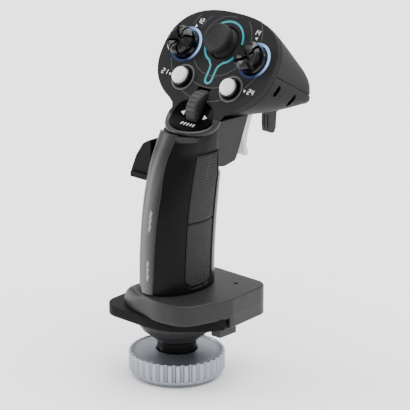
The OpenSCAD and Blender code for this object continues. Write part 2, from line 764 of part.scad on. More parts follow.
module left_hat_cap() {
    color("#0c0c0e") on_face(-hat_u, hat_v) difference() {
        union() {
            turned([[0, 3.1], [4.6, 3.1], [6.6, 2.4], [hat_r, 3], [hat_r, 6.2], [hat_r - 1.1, 7.8],
                [hat_r - 3, 8.6], [hat_r - 5, 7.4], [0, 6.6]]);
            hat_body();
        }
        for (a = [0:45:135]) rotate([0, 0, a + 22.5]) translate([-10, -0.6, 4.6])
            cube([20, 1.2, 6]);
        hat_hole();
    }
}

module right_hat_cap() {
    color("#0c0c0e") on_face(hat_u, hat_v) difference() {
        union() {
            turned([[0, 3.1], [4.6, 3.1], [6.6, 2.4], [hat_r, 3], [hat_r, 7.4], [hat_r - 0.8, 8.4],
                [hat_r - 2.6, 8], [hat_r - 4.4, 6.6], [0, 6]]);
            hat_body();
        }
        for (a = [45, 135]) rotate([0, 0, a]) translate([-10, -0.9, 4.2]) cube([20, 1.8, 6]);
        hat_hole();
    }
}

module left_hat_gimbal() {
    color("#b8a060") on_face(-hat_u, hat_v) gimbal(4);
}

module right_hat_gimbal() {
    color("#b8a060") on_face(hat_u, hat_v) gimbal(4);
}

// ---------- front lever ----------
module lever_bracket() {
    color("#2c2c30") difference() {
        union() {
            translate([-8, 66.2, 133.4]) cube([16, 8.8, 1.6]);
            for (s = [-1, 1]) translate([s * 4, 0, 0])
                across(rounded([[67.8, 134, 0], [67.8, 126.6, 1.4], [73.4, 126.6, 1.4], [73.4, 134, 0]]), 1.2);
        }
        translate([-10, lever_y, lever_z]) rotate([0, 90, 0]) cylinder(r = 0.92, h = 20, $fn = 24);
    }
}

module lever_blade() {
    blade = rounded([[68.4, 131.2, 1.6], [72.8, 131.2, 1.6], [73.2, 126, 3], [72.6, 117.4, 2],
        [71.4, 115, 1], [68.8, 115, 1], [68.2, 118.4, 3], [68.2, 125, 3]]);
    color("#1c1c1f") difference() {
        across(blade, 6.2);
        translate([-10, lever_y, lever_z]) rotate([0, 90, 0]) cylinder(r = 0.96, h = 20, $fn = 24);
        for (x = [-1.2, 1.2]) translate([x - 0.3, 66.6, 116.8]) cube([0.6, 2, 8]);
    }
}

module lever_pin() {
    color("silver") translate([-4.7, lever_y, lever_z]) rotate([0, 90, 0])
        cylinder(r = 0.9, h = 9.4, $fn = 24);
}

// ---------- parts shown ----------
coupling_nut();
slip_washer();
neck_collar();
neck_lock_nut();
connector_shell();
connector_insert();
connector_pins();
base_dome();
hand_rest_plate();
hand_rest_body();
hand_rest_screws();
rest_latch();
grip_floor();
grip_shell_right();
grip_shell_left();
grip_shell_screws();
back_strip();
lower_pad_right();
upper_pad_right();
lower_pad_left();
upper_pad_left();
thumb_rest();
thumb_rest_screws();
ballast_weight();
grip_circuit_board();
wiring_loom();
trigger_housing();
trigger_blade();
trigger_pin();
trigger_switch();
trigger_spring();
head_upper_shell();
head_lower_shell();
face_plate();
face_lip();
wheel_panel();
head_circuit_board();
board_standoffs();
light_guide();
hat_light_rings();
button_bezels();
button_left();
button_right();
button_left_spring();
button_right_spring();
button_switches();
wheel_tyre();
wheel_hub();
wheel_bracket();
stick_cap();
stick_stem();
stick_gimbal();
sensor_bases();
left_hat_cap();
left_hat_gimbal();
right_hat_cap();
right_hat_gimbal();
lever_bracket();
lever_blade();
lever_pin();
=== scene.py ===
"""Flight stick grip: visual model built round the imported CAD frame."""
import json
import math

import bpy
import numpy as np
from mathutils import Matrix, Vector


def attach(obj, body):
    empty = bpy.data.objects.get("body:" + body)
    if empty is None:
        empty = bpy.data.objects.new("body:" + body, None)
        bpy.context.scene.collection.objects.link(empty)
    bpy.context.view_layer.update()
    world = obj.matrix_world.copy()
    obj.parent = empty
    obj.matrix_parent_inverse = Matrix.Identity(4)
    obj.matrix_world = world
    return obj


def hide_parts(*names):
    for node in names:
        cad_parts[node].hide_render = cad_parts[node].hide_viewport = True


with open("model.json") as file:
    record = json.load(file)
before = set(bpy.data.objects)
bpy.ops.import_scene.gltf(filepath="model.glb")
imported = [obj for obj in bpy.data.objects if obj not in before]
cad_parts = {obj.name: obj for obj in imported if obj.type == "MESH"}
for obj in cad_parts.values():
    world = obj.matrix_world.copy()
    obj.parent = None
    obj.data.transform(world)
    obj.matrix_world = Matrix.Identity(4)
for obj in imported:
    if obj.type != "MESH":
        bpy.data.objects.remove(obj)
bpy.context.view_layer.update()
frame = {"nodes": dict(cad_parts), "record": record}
NODES = frame["nodes"]

MM = 0.001

# The face of the head leans back; points on it are (u, v, n): right, up the face, out of it.
LEAN = math.radians(34.6)
FACE_AT = np.array([0.0, 32.2, 165.1])
FACE_U = np.array([1.0, 0.0, 0.0])
FACE_V = np.array([0.0, math.sin(LEAN), math.cos(LEAN)])
FACE_N = np.array([0.0, -math.cos(LEAN), math.sin(LEAN)])
BTN_U, BTN_V = 16.6, -16.7
STICK_V = 6.0
PIVOT_N = -2.5


# ---------------------------------------------------------------- meshes
def face_points(uvn):
    """Points given as (u, v, n) on the leaning face, in mm in the row frame."""
    uvn = np.asarray(uvn, float)
    return (FACE_AT + uvn[..., 0:1] * FACE_U + uvn[..., 1:2] * FACE_V
            + uvn[..., 2:3] * FACE_N)


def mesh_object(name, verts, faces, body, material, smooth_angle=40):
    mesh = bpy.data.meshes.new(name)
    mesh.from_pydata([tuple(v * MM for v in p) for p in verts], [], [tuple(f) for f in faces])
    mesh.validate()
    mesh.update()
    obj = bpy.data.objects.new(name, mesh)
    bpy.context.scene.collection.objects.link(obj)
    finish_piece(obj, body, material, smooth_angle)
    return obj


def finish_piece(obj, body, material, smooth_angle=40):
    obj.data.materials.clear()
    obj.data.materials.append(material)
    recalc_normals(obj)
    for poly in obj.data.polygons:
        poly.use_smooth = True
    mark_sharp(obj, smooth_angle)
    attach(obj, body)


def recalc_normals(obj):
    import bmesh
    bm = bmesh.new()
    bm.from_mesh(obj.data)
    bmesh.ops.recalc_face_normals(bm, faces=bm.faces)
    bm.to_mesh(obj.data)
    bm.free()


def mark_sharp(obj, angle):
    obj.data.set_sharp_from_angle(angle=math.radians(angle))


def grid_faces(rows, cols, wrap=False, start=0):
    faces = []
    for r in range(rows - 1):
        for c in range(cols if wrap else cols - 1):
            d = (c + 1) % cols
            a, b = start + r * cols, start + (r + 1) * cols
            faces.append((a + c, a + d, b + d, b + c))
    return faces


def thick_sheet(outer, inner, capped=False):
    """Closed body between two grids of equal shape; capped closes both skins at the last row."""
    rows, cols = outer.shape[:2]
    n = rows * cols
    verts = np.concatenate([outer.reshape(-1, 3), inner.reshape(-1, 3)])
    faces = grid_faces(rows, cols)
    faces += [tuple(reversed(f)) for f in grid_faces(rows, cols, start=n)]
    for c in range(cols - 1):
        faces.append((c + 1, c, n + c, n + c + 1))
        e = (rows - 1) * cols + c
        if not capped:
            faces.append((e, e + 1, n + e + 1, n + e))
    if capped:
        first, last = (rows - 1) * cols, rows * cols - 1
        faces += [tuple(range(first, last + 1)), tuple(range(n + last, n + first - 1, -1)),
                  (last, first, n + first, n + last)]
    for r in range(rows - 1):
        a, b = r * cols, (r + 1) * cols
        faces.append((a, b, n + b, n + a))
        a, b = a + cols - 1, b + cols - 1
        faces.append((b, a, n + a, n + b))
    return verts, faces


def loft(rings, cap=True):
    rings = [np.asarray(r, float) for r in rings]
    n = len(rings[0])
    verts = np.concatenate(rings)
    faces = grid_faces(len(rings), n, wrap=True)
    if cap:
        faces.append(tuple(reversed(range(n))))
        faces.append(tuple(range((len(rings) - 1) * n, len(rings) * n)))
    return verts, faces


def join_parts(parts):
    verts, faces, base = [], [], 0
    for v, f in parts:
        verts.append(np.asarray(v, float))
        faces += [tuple(i + base for i in q) for q in f]
        base += len(v)
    return np.concatenate(verts), faces


def bevel(obj, width, segments=3, angle=30, dissolve=False):
    if dissolve:
        d = obj.modifiers.new("flat", "DECIMATE")
        d.decimate_type = "DISSOLVE"
        d.angle_limit = math.radians(0.6)
    b = obj.modifiers.new("edge", "BEVEL")
    b.width = width * MM
    b.segments = segments
    b.limit_method = "ANGLE"
    b.angle_limit = math.radians(angle)
    b.harden_normals = False
    w = obj.modifiers.new("normals", "WEIGHTED_NORMAL")
    w.keep_sharp = False
    return obj


# ---------------------------------------------------------------- materials
def new_material(name):
    mat = bpy.data.materials.new(name)
    mat.use_nodes = True
    nt = mat.node_tree
    nt.nodes.clear()
    out = nt.nodes.new("ShaderNodeOutputMaterial")
    bsdf = nt.nodes.new("ShaderNodeBsdfPrincipled")
    nt.links.new(bsdf.outputs[0], out.inputs[0])
    return mat, nt, bsdf


def add_noise(nt, scale, detail=3.0, coords=None, stretch=None):
    if coords is None:
        coords = nt.nodes.new("ShaderNodeTexCoord").outputs["Object"]
    if stretch:
        mapping = nt.nodes.new("ShaderNodeMapping")
        mapping.inputs["Scale"].default_value = stretch
        nt.links.new(coords, mapping.inputs["Vector"])
        coords = mapping.outputs[0]
    noise = nt.nodes.new("ShaderNodeTexNoise")
    noise.inputs["Scale"].default_value = scale
    noise.inputs["Detail"].default_value = detail
    nt.links.new(coords, noise.inputs["Vector"])
    return noise.outputs["Fac"]


def map_range(nt, value, lo, hi, a=0.3, b=0.7):
    m = nt.nodes.new("ShaderNodeMapRange")
    m.inputs["From Min"].default_value = a
    m.inputs["From Max"].default_value = b
    m.inputs["To Min"].default_value = lo
    m.inputs["To Max"].default_value = hi
    nt.links.new(value, m.inputs["Value"])
    return m.outputs[0]


def mix_colours(nt, fac, a, b):
    m = nt.nodes.new("ShaderNodeMix")
    m.data_type = "RGBA"
    nt.links.new(fac, m.inputs["Factor"])
    for socket, c in ((m.inputs[6], a), (m.inputs[7], b)):
        if isinstance(c, (tuple, list)):
            socket.default_value = (*c[:3], 1)
        else:
            nt.links.new(c, socket)
    return m.outputs[2]


def surface(name, base, rough, metal=0.0, coat=0.0, grain=1600, grain_depth=0.008,
            cloud=60, tint=0.12, rough_span=0.08, wear=0.25, stretch=None, specular=0.5, hollow_shade=1.0):
    """Moulded or painted surface: cloudy tint, fine grain, worn edges, and, when asked, painted shade
    darkening the hollows.
    """
    mat, nt, bsdf = new_material(name)
    base = tuple(base)
    dark = tuple(c * (1 - tint) for c in base)
    light = tuple(min(1, c * (1 + tint)) for c in base)
    cloud_fac = map_range(nt, add_noise(nt, cloud, 4), 0, 1)
    colour = mix_colours(nt, cloud_fac, dark, light)
    if wear:
        geo = nt.nodes.new("ShaderNodeNewGeometry")
        edge = map_range(nt, geo.outputs["Pointiness"], 0, wear, 0.52, 0.62)
        bright = tuple(min(1, c * 1.5 + 0.06) for c in base)
        colour = mix_colours(nt, edge, colour, bright)
    # painted shade: concave hollows are darkened as if shadowed
    if hollow_shade < 1:
        geo = nt.nodes.new("ShaderNodeNewGeometry")
        depth = map_range(nt, geo.outputs["Pointiness"], 1, 0, 0.40, 0.49)
        colour = mix_colours(nt, depth, colour, tuple(c * hollow_shade for c in base))
    nt.links.new(colour, bsdf.inputs["Base Color"])
    bsdf.inputs["Metallic"].default_value = metal
    bsdf.inputs["Specular IOR Level"].default_value = specular
    bsdf.inputs["Coat Weight"].default_value = coat
    bsdf.inputs["Coat Roughness"].default_value = 0.12
    fine = add_noise(nt, grain, 5, stretch=stretch)
    nt.links.new(map_range(nt, fine, rough - rough_span, rough + rough_span), bsdf.inputs["Roughness"])
    bump = nt.nodes.new("ShaderNodeBump")
    bump.inputs["Strength"].default_value = 0.35
    bump.inputs["Distance"].default_value = grain_depth * MM
    nt.links.new(fine, bump.inputs["Height"])
    nt.links.new(bump.outputs[0], bsdf.inputs["Normal"])
    return mat


def lit_material(name, base, glow, strength, noise_scale=500):
    mat, nt, bsdf = new_material(name)
    fac = map_range(nt, add_noise(nt, noise_scale, 2), 0, 1)
    colour = mix_colours(nt, fac, tuple(c * 0.9 for c in base), base)
    nt.links.new(colour, bsdf.inputs["Base Color"])
    nt.links.new(mix_colours(nt, fac, tuple(c * 0.9 for c in glow), glow), bsdf.inputs["Emission Color"])
    bsdf.inputs["Emission Strength"].default_value = strength
    bsdf.inputs["Roughness"].default_value = 0.3
    return mat


def brushed(name, base, rough=0.3, tint=0.08):
    return surface(name, base, rough, metal=1.0, grain=700, grain_depth=0.012, cloud=120, tint=tint,
                   rough_span=0.07, wear=0.2, stretch=(1, 1, 0.06))


def object_xyz(nt):
    """Sockets X, Y and Z of the point on the surface, in metres."""
    sep = nt.nodes.new("ShaderNodeSeparateXYZ")
    nt.links.new(nt.nodes.new("ShaderNodeTexCoord").outputs["Object"], sep.inputs[0])
    return sep.outputs


def calc(nt, operation, *values):
    node = nt.nodes.new("ShaderNodeMath")
    node.operation = operation
    for socket, value in zip(node.inputs, values):
        if isinstance(value, (int, float)):
            socket.default_value = value
        else:
            nt.links.new(value, socket)
    return node.outputs[0]


def recolour(mat, mask, colour):
    """Lays a second colour over a surface where mask(nt, xyz) is 1."""
    nt = mat.node_tree
    socket = next(n for n in nt.nodes if n.type == "BSDF_PRINCIPLED").inputs["Base Color"]
    old = socket.links[0].from_socket
    nt.links.new(mix_colours(nt, mask(nt, object_xyz(nt)), old, colour), socket)
    return mat


def strip_material():
    """Pale strip with painted light and shade: lighter on its left, darkening towards its right edge and
    where it meets the head.
    """
    def strip_shade(nt, xyz):
        return calc(nt, "MAXIMUM", map_range(nt, xyz["Z"], 0, 0.85, 0.088, 0.122),
                    map_range(nt, xyz["X"], 0, 0.85, -0.0015, 0.0045))

    mat = surface("strip_look", (0.088, 0.088, 0.092), 0.36, metal=0.3, specular=0.3,
                  grain_depth=0.003, tint=0.05, wear=0.03)
    # painted shade laid over the strip's right edge and top
    return recolour(mat, strip_shade, (0.006, 0.006, 0.0065))


def grip_material():
    """Satin black shell with a painted sheen: its right shoulder above the pads is a lighter grey."""
    def shoulder_sheen(nt, xyz):
        return calc(nt, "MULTIPLY", map_range(nt, xyz["Z"], 0, 1, 0.1190, 0.1225),
                    map_range(nt, xyz["X"], 0, 1, 0.0070, 0.0135))

    mat = surface("grip_look", (0.0030, 0.0030, 0.0034), 0.30, specular=0.09, grain_depth=0.003,
                  rough_span=0.04, wear=0.01)
    # painted sheen on the right shoulder
    return recolour(mat, shoulder_sheen, (0.012, 0.012, 0.0125))


def ring_light_material():
    """Light rings that glow pale on their right side and deep blue at the lower edge."""
    mat, nt, bsdf = new_material("blue_light_look")
    xyz = object_xyz(nt)
    hat_pitch = 0.047
    turn = calc(nt, "MODULO", calc(nt, "ADD", xyz["X"], hat_pitch), hat_pitch)
    across_ring = map_range(nt, turn, -1, 1, 0.0137, 0.0333)
    up_ring = map_range(nt, xyz["Z"], -1, 1, 0.1575, 0.1737)
    toward = calc(nt, "ADD", calc(nt, "MULTIPLY", across_ring, 0.8), calc(nt, "MULTIPLY", up_ring, 0.45))
    bright = map_range(nt, toward, 0, 1, 0.0, 0.75)
    glow = map_range(nt, add_noise(nt, 500, 2), 0.9, 1.0)
    shade = mix_colours(nt, bright, (0.012, 0.045, 0.16), (0.36, 0.56, 0.95))
    nt.links.new(shade, bsdf.inputs["Emission Color"])
    nt.links.new(mix_colours(nt, bright, (0.01, 0.02, 0.05), (0.10, 0.16, 0.26)), bsdf.inputs["Base Color"])
    strength = calc(nt, "ADD", calc(nt, "MULTIPLY", bright, 0.9), 0.25)
    nt.links.new(calc(nt, "MULTIPLY", glow, strength), bsdf.inputs["Emission Strength"])
    bsdf.inputs["Roughness"].default_value = 0.35
    bsdf.inputs["Specular IOR Level"].default_value = 0.1
    return mat


LOOK = {
    # the nut's grooves and hollows get painted shade
    "nut_metal": surface("nut_metal_look", (0.31, 0.33, 0.375), 0.36, metal=0.8, grain_depth=0.004,
                         cloud=50, tint=0.08, wear=0.4, hollow_shade=0.08),
    "black_metal": surface("black_metal_look", (0.0025, 0.0025, 0.003), 0.32, specular=0.10,
                           grain_depth=0.002),
    "steel": brushed("steel_look", (0.30, 0.30, 0.31)),
    "contact_brass": brushed("brass_look", (0.60, 0.42, 0.16), 0.25),
    "insulator_black": surface("insulator_look", (0.008, 0.008, 0.009), 0.5, specular=0.2),
    "nylon": surface("nylon_look", (0.50, 0.48, 0.43), 0.45),
    "dome_grey": surface("dome_look", (0.017, 0.017, 0.018), 0.42, specular=0.2),
    "rest_grey": surface("rest_look", (0.0165, 0.0165, 0.0175), 0.42, specular=0.22, wear=0.10),
    "rest_dark": surface("rest_dark_look", (0.0060, 0.0060, 0.0065), 0.42, specular=0.05, wear=0.03),
    "grip_black": grip_material(),
    "strip_grey": strip_material(),
    "pad_rubber": surface("pad_look", (0.018, 0.018, 0.019), 0.55, specular=0.2, grain=2400,
                          grain_depth=0.010, tint=0.12, wear=0.12),
    "housing_grey": surface("housing_look", (0.0045, 0.0045, 0.0048), 0.50, specular=0.03, wear=0.02),
    "face_grey": surface("face_look", (0.0120, 0.0120, 0.0129), 0.46, specular=0.07, tint=0.05, wear=0.03),
    "lip_grey": surface("lip_look", (0.020, 0.020, 0.022), 0.28, metal=0.2, specular=0.3,
                        grain_depth=0.003, wear=0.03),
    "panel_gloss": surface("panel_look", (0.0015, 0.0015, 0.0018), 0.22, specular=0.02,
                           grain_depth=0.001, rough_span=0.04, wear=0.01),
    "trigger_silver": surface("trigger_look", (0.56, 0.57, 0.59), 0.30, metal=0.1, coat=0.2,
                              grain_depth=0.003, tint=0.04, wear=0.1),
    "cap_grey": surface("cap_look", (0.0125, 0.0125, 0.0130), 0.58, specular=0.14, grain=2600,
                        grain_depth=0.015, wear=0.02),
    "hat_gloss": surface("hat_look", (0.0015, 0.0015, 0.0018), 0.16, specular=0.30, grain_depth=0.001,
                         rough_span=0.05, wear=0.03),
    "button_white": surface("button_look", (0.62, 0.62, 0.63), 0.25, coat=0.3, grain_depth=0.002,
                            tint=0.02, rough_span=0.05, wear=0),
    "ring_grey": surface("ring_look", (0.075, 0.075, 0.078), 0.35, specular=0.2, grain_depth=0.002, wear=0),
    "wheel_rubber": surface("tyre_look", (0.018, 0.018, 0.019), 0.50, specular=0.25, grain_depth=0.010),
    "inner_black": surface("inner_look", (0.005, 0.005, 0.0055), 0.5, specular=0.15),
    "gimbal_tan": surface("gimbal_look", (0.10, 0.08, 0.045), 0.5),
    "board_green": surface("board_look", (0.01, 0.07, 0.025), 0.35),
    "cable_jacket": surface("cable_look", (0.008, 0.008, 0.008), 0.5),
    "weight_iron": surface("iron_look", (0.08, 0.08, 0.085), 0.6, metal=0.8),
    "lever_black": surface("lever_look", (0.0085, 0.0085, 0.0090), 0.38, specular=0.2, wear=0.05),
    "light_cyan": lit_material("cyan_light_look", (0.0, 0.10, 0.12), (0.0, 0.42, 0.52), 0.55),
    "light_blue": ring_light_material(),
}
SLOT_OF = {s["node"]: s["material_slot"] for s in frame["record"]["subparts"]}
BODY_OF = {n: b for b, ns in frame["record"]["behaviour"]["bodies"].items() for n in ns}
for node_name, obj in NODES.items():
    obj.data.materials.clear()
    obj.data.materials.append(LOOK[SLOT_OF[node_name]])


def stand_in(name, verts, faces, node, *more, smooth_angle=40, material=None):
    """A detailed piece in place of CAD nodes, on their body and slot."""
    obj = mesh_object(name, verts, faces, BODY_OF[node],
                      material or LOOK[SLOT_OF[node]], smooth_angle)
    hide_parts(node, *more)
    return obj


def extra(name, verts, faces, body, slot_name, smooth_angle=40, material=None):
    return mesh_object(name, verts, faces, body, material or LOOK[slot_name], smooth_angle)


# ---------------------------------------------------------------- grip column
# Sections of the column: z, centre y, half width, depth to the back, depth to the front,
# and the power of the front's rounding.
COLUMN = np.array([
    [48.8, 0.4, 16, 21.8, 21.8, 2.1], [62, 0.4, 16, 21.9, 21.8, 2.1],
    [75, 1.4, 16, 22.2, 21.6, 2.1], [85.6, 2.3, 16, 22, 21.7, 2.1],
    [95, 3.4, 16, 21.8, 21.8, 2.1], [106, 5.2, 16, 20.8, 20.8, 2.2],
    [109.6, 5.8, 16, 20.4, 14.6, 3.4], [114, 7, 15.8, 20.2, 13.3, 3.4],
    [120.4, 9, 15.3, 19.5, 11.3, 3.4], [127, 11.3, 14.8, 17.6, 9, 3.4],
    [133, 13.4, 14.6, 16.4, 6.9, 3.4]])
FINE_Z = np.arange(48.8, 133.01, 0.6)


def smoothed(k, width):
    raw = np.interp(FINE_Z, COLUMN[:, 0], COLUMN[:, k])
    pad = np.concatenate([np.full(12, raw[0]), raw, raw[-1] + (raw[-1] - raw[-2]) * np.arange(1, 13)])
    t = np.arange(-12, 13)
    w = np.exp(-0.5 * (t / width) ** 2)
    return np.convolve(pad, w / w.sum(), mode="valid")


SMOOTH = {k: smoothed(k, 6.0 if k in (1, 2, 3) else 1.6) for k in range(1, 6)}


def col(z, k):
    return np.interp(z, FINE_Z, SMOOTH[k])


def spow(a, n):
    return np.sign(a) * np.abs(a) ** (2 / n)


def column_skin(z, t, off, side):
    z, t, off = np.broadcast_arrays(np.asarray(z, float), np.asarray(t, float), np.asarray(off, float))
    rad = np.radians(t)
    front = t > 90
    n = np.where(front, col(z, 5), 2.1)
    w = col(z, 2) + off
    d = np.where(front, col(z, 4), col(z, 3)) + off
    return np.stack([side * w * spow(np.sin(rad), n), col(z, 1) - d * spow(np.cos(rad), n), z], -1)


def top_z(y):
    y = np.asarray(y, float)
    return np.minimum(128.7 + 0.024 * np.maximum(y, 0) ** 2, 136.4 - 0.2 * np.maximum(0, y - 16.6))


def smoothstep(a, b, x):
    t = np.clip((x - a) / (b - a), 0, 1)
    return t * t * (3 - 2 * t)


# Pads: angles of their edges round the column in degrees, depth and length of their recess.
PAD_T0, PAD_T1, PAD_T = 64.0, 118.0, 1.1
PAD_FOOT, PAD_HEAD = 50.9, 120.6
MM_PER_DEGREE = 0.33
CROWN_Z = 127.0


def pad_window(z, t, grow=0.0):
    """1 inside the recess of the pads, 0 outside, with rounded corners at the lower end."""
    mid = (PAD_T0 + PAD_T1) / 2
    half = (PAD_T1 - PAD_T0) / 2
    s = (t - mid) * MM_PER_DEGREE
    w = half * MM_PER_DEGREE + grow
    bottom = PAD_FOOT - grow + 5.0 * np.clip(np.abs(s) / w - 0.35, 0, 1) ** 2 * 1.6
    inside_t = smoothstep(w + 0.05, w - 0.35, np.abs(s))
    above = smoothstep(bottom, bottom + 0.45, z)
    below = smoothstep(PAD_HEAD + 0.6 + grow, PAD_HEAD + grow, z)
    return inside_t * above * below


def grip_half(side, name, node):
    zs = np.concatenate([np.arange(48.8, CROWN_Z, 0.45), np.linspace(CROWN_Z, 133.0, 12)])
    ts = np.unique(np.concatenate([np.linspace(2, 178, 110), np.linspace(62.5, 66.5, 14),
                                   np.linspace(115.5, 119.5, 14)]))
    Z, T = np.meshgrid(zs, ts, indexing="ij")
    outer = column_skin(Z, T, -PAD_T * pad_window(Z, T), side)
    inner = column_skin(Z, T, -3.3, side)
    for g in (outer, inner):
        lift = np.clip((g[..., 2] - CROWN_Z) / 6.0, 0, 1)
        crown = CROWN_Z + lift * (top_z(g[..., 1]) - CROWN_Z)
        g[..., 2] = np.where(g[..., 2] > CROWN_Z, crown, g[..., 2])
    v, f = thick_sheet(outer, inner)
    return stand_in(name, v, f, node, smooth_angle=50)


grip_half(1, "right_grip_shell", "grip_shell_right")
grip_half(-1, "left_grip_shell", "grip_shell_left")


def pad_piece(side, name, node, z0, z1):
    """Crowned rubber pad with rounded edges, lying in its recess."""
    zs = np.concatenate([z0 + 0.0001 + np.linspace(0, 0.9, 7), np.arange(z0 + 1.2, z1 - 1.1, 0.26),
                         z1 - np.linspace(0.9, 0, 7)])
    ts = np.linspace(PAD_T0 + 2.2, PAD_T1 - 2.2, 72)
    Z, T = np.meshgrid(zs, ts, indexing="ij")
    mid = (PAD_T0 + PAD_T1) / 2
    s = (T - mid) * MM_PER_DEGREE
    w = (PAD_T1 - PAD_T0) / 2 * MM_PER_DEGREE - 0.72
    if z0 < 60:
        low = z0 + 5.0 * np.clip(np.abs(s) / w - 0.35, 0, 1) ** 2 * 1.6
        Z = low + (Z - z0) * (z1 - low) / (z1 - z0)
    edge = np.minimum.reduce([w - np.abs(s), (Z - Z[0:1, :]), (Z[-1:, :] - Z)])
    roll = 0.7 * (1 - np.sqrt(np.clip(1 - (1 - np.clip(edge / 0.8, 0, 1)) ** 2, 0, 1)))
    pitch = 2 * math.pi / 2.5
    across = s * pitch
    along = Z * pitch * 0.8
    studs = np.clip(np.sin(across + along) * np.sin(across - along) * 1.6, -0.25, 1)
    field = smoothstep(0.5, 0.95, edge)
    outer = column_skin(Z, T, -0.33 - roll + 0.28 * field * np.maximum(studs, 0), side)
    inner = column_skin(Z, T, -PAD_T + 0.08, side)
    v, f = thick_sheet(outer, inner)
    return stand_in(name, v, f, node, smooth_angle=60)


pad_piece(1, "right_lower_pad", "lower_pad_right", 51.8, 85.2)
pad_piece(1, "right_upper_pad", "upper_pad_right", 86.0, 120.0)
pad_piece(-1, "left_lower_pad", "lower_pad_left", 51.8, 85.2)
pad_piece(-1, "left_upper_pad", "upper_pad_left", 86.0, 99.6)


def strip_point(z, f, off):
    w = np.interp(z, [48.8, 85, 110, 120, 128], [4, 4.4, 5.2, 6, 7])
    c = np.interp(z, [48.8, 100, 116, 128], [0, 0, -1.6, -2.4])
    x = c + w * f
    y = col(z, 1) - (col(z, 3) + off) * (1 - (np.abs(x) / col(z, 2)) ** 2.1) ** (1 / 2.1)
    return np.stack([x, y, z], -1)


def back_strip():
    zs = np.linspace(49.2, 130.4, 134)
    fs = np.concatenate([[-1, -0.97, -0.93], np.linspace(-0.86, 0.86, 19), [0.93, 0.97, 1]])
    Z, F = np.meshgrid(zs, fs, indexing="ij")
    edge = np.clip((1 - np.abs(F)) / 0.12, 0, 1)
    outer = strip_point(Z, F, 0.35 + 0.73 * np.sqrt(1 - (1 - edge) ** 2))
    inner = strip_point(Z, F, 0.06)
    v, f = thick_sheet(outer, inner)
    return stand_in("spine_strip", v, f, "back_strip", smooth_angle=50)


back_strip()


def strip_marks():
    """Two groups of short slanted bars on the back strip."""
    parts = []
    for z0 in (83.0, 86.4, 89.8, 57.0, 60.4, 63.8):
        zs = np.linspace(0, 3.4, 7)
        fs = np.linspace(-0.1, 0.18, 4)
        Zl, Fl = np.meshgrid(zs, fs, indexing="ij")
        z = z0 + Zl - 5.0 * Fl
        f = Fl + 0.10 + 0.05 * Zl
        parts.append(thick_sheet(strip_point(z, f, 1.13), strip_point(z, f, 1.02)))
    v, f = join_parts(parts)
    return extra("strip_marks", v, f, "grip", "ring_grey",
                 material=surface("mark_look", (0.20, 0.20, 0.21), 0.35, wear=0))


# ---------------------------------------------------------------- head shells
def seam_z(y):
    return 160 - 0.484 * (y - 32.5)


def head_param(s):
    """Ring parameters along the head: s 0 at the face, 1 where the nose begins, 2 at its tip."""
    key = np.array([
        [0.0, 32.5, 34.6, 38.0, 26.9, 28.0, 2.5, 2.2],
        [1.0, 79.0, 0.0, 19.5, 16.0, 7.6, 3.0, 3.2],
        [1.36, 83.5, 0.0, 17.3, 13.2, 6.2, 3.0, 3.2],
        [1.7, 86.3, 0.0, 13.2, 9.6, 4.6, 2.8, 3.0],
        [2.0, 87.55, 0.0, 7.5, 5.4, 2.6, 2.6, 2.6]])
    return [np.interp(s, key[:, 0], key[:, k]) for k in range(1, 8)]


def head_point(s, a, up, off):
    y, lean, w, hu, hd, nu, nd = head_param(s)
    nose = np.clip((s - 1), 0, 1)
    y = y - off * nose
    w = w - off
    h = (hu if up > 0 else hd) - off
    n = nu if up > 0 else nd
    rad, tilt = np.radians(a), np.radians(lean)
    u = w * spow(np.cos(rad), n)
    v = up * h * spow(np.sin(rad), n)
    return np.stack([up * u, y + v * np.sin(tilt), seam_z(y) + 0.16 * up + v * np.cos(tilt)], -1)


def head_half(up, name, node):
    s = np.concatenate([[0, 0.004, 0.012, 0.022], np.linspace(0.035, 0.94, 60),
                        np.linspace(0.955, 2.0, 40)])
    a = np.concatenate([[0, 0.6, 1.3, 2.2], np.linspace(3.2, 176.8, 90), [177.8, 178.7, 179.4, 180]])
    S, A = np.meshgrid(s, a, indexing="ij")
    edge_s = np.clip(S / 0.022, 0, 1)
    edge_a = np.clip(np.minimum(A, 180 - A) / 2.2, 0, 1)
    off = 0.55 * (1 - np.sqrt(1 - (1 - edge_s) ** 2)) + 0.35 * (1 - np.sqrt(1 - (1 - edge_a) ** 2))
    outer = head_point(S, A, up, off)
    inner = head_point(S, A, up, 2.0)
    smooth_rows(outer)
    v, f = thick_sheet(outer, inner, capped=True)
    return stand_in(name, v, f, node, smooth_angle=45)


def smooth_rows(g):
    """Takes the kinks out of the shell where its ring keys meet."""
    for _ in range(14):
        g[64:-2] = 0.25 * g[63:-3] + 0.5 * g[64:-2] + 0.25 * g[65:-1]


head_half(1, "upper_head_shell", "head_upper_shell")


# ---------------------------------------------------------------- head, lower half
def cut(obj, cutters):
    """Boolean difference carried out once, so the mesh itself holds the finished cut."""
    for verts, faces in cutters:
        mesh = bpy.data.meshes.new("cutter")
        mesh.from_pydata([tuple(v * MM for v in p) for p in verts], [], [tuple(f) for f in faces])
        tool = bpy.data.objects.new("cutter", mesh)
        bpy.context.scene.collection.objects.link(tool)
        recalc_normals(tool)
        mod = obj.modifiers.new("cut", "BOOLEAN")
        mod.operation = "DIFFERENCE"
        mod.solver = "EXACT"
        mod.object = tool
        graph = bpy.context.evaluated_depsgraph_get()
        result = bpy.data.meshes.new_from_object(obj.evaluated_get(graph))
        obj.modifiers.clear()
        obj.data = result
        bpy.data.objects.remove(tool)
    for poly in obj.data.polygons:
        poly.use_smooth = True
    return obj


def box_mesh(low, high):
    x0, y0, z0 = low
    x1, y1, z1 = high
    corners = ((x0, y0), (x1, y0), (x1, y1), (x0, y1))
    verts = np.array([(x, y, z) for z in (z0, z1) for x, y in corners], float)
    faces = [(3, 2, 1, 0), (4, 5, 6, 7), (0, 1, 5, 4), (1, 2, 6, 5), (2, 3, 7, 6), (3, 0, 4, 7)]
    return verts, faces


